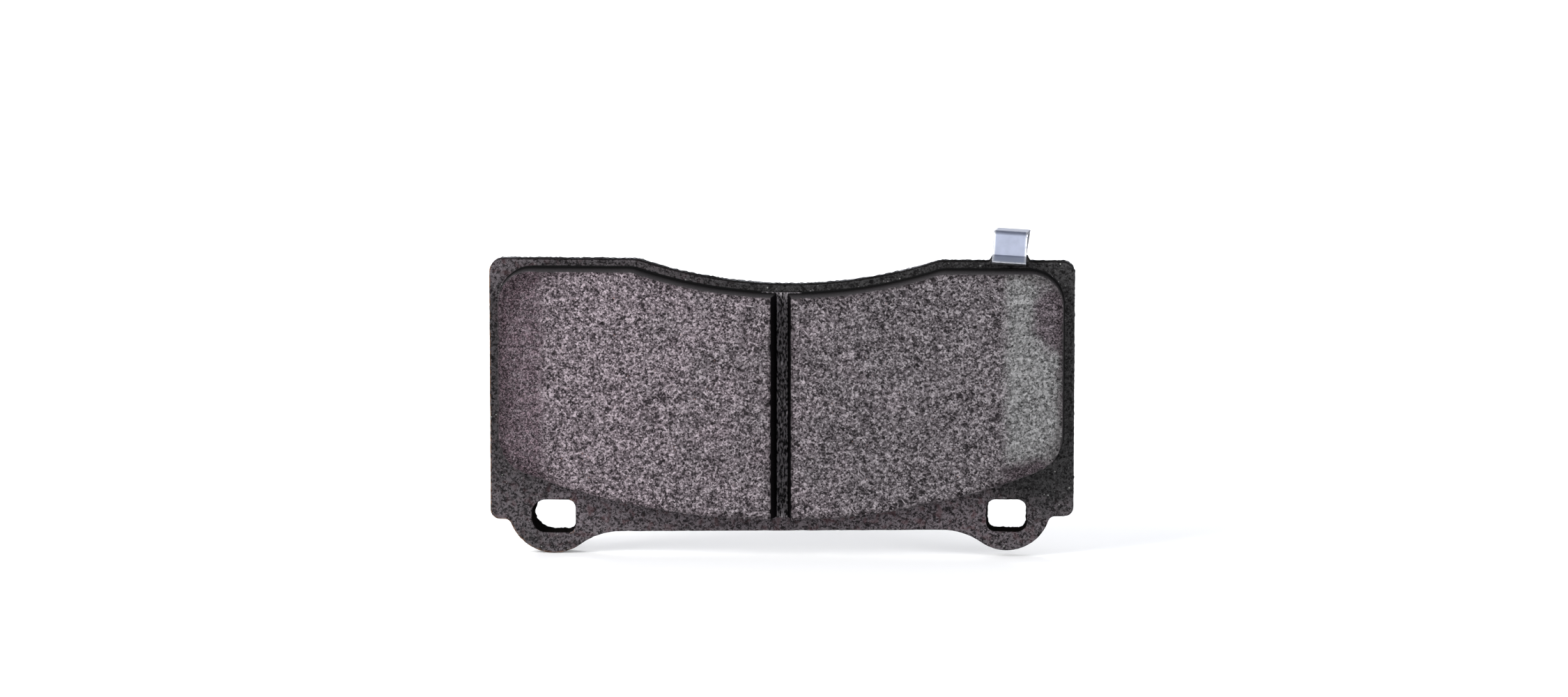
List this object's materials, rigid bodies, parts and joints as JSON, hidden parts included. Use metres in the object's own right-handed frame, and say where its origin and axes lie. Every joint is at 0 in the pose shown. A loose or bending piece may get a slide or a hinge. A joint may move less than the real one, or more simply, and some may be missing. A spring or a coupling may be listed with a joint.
{
  "type": "disc brake pad",
  "caption": "Disc brake pad: split friction lining moulded on a steel backing plate with slotted hanging ears, damping shims behind and a bent spring wear indicator on its top edge.",
  "frame": {"origin": "middle of the line through the two ear slots, on the friction side of the backing plate", "axes": "+X along the pad towards the wear indicator's end, -Y out of the friction face towards the disc, +Z from the ears towards the disc's axis"},
  "size_m": [0.151, 0.0187, 0.0849],
  "materials": {
    "plate_paint": "rough black coating over stamped steel",
    "underlayer_compound": "dull moulded",
    "friction_compound": "rough ground, speckled and pitted",
    "shim_rubber": "matte",
    "shim_steel": "satin rolled sheet",
    "rivet_steel": "zinc plated",
    "spring_steel": "bright bluish sheet with sheared edges"
  },
  "bodies": {
    "root": {"backing_plate": "plate_paint", "underlayer": "underlayer_compound", "friction_block_left": "friction_compound", "friction_block_right": "friction_compound", "inner_shim": "shim_rubber", "outer_shim": "shim_steel", "shim_rivet_left": "rivet_steel", "shim_rivet_right": "rivet_steel", "wear_indicator": "spring_steel", "wear_indicator_rivet": "rivet_steel"}
  },
  "joints": []
}
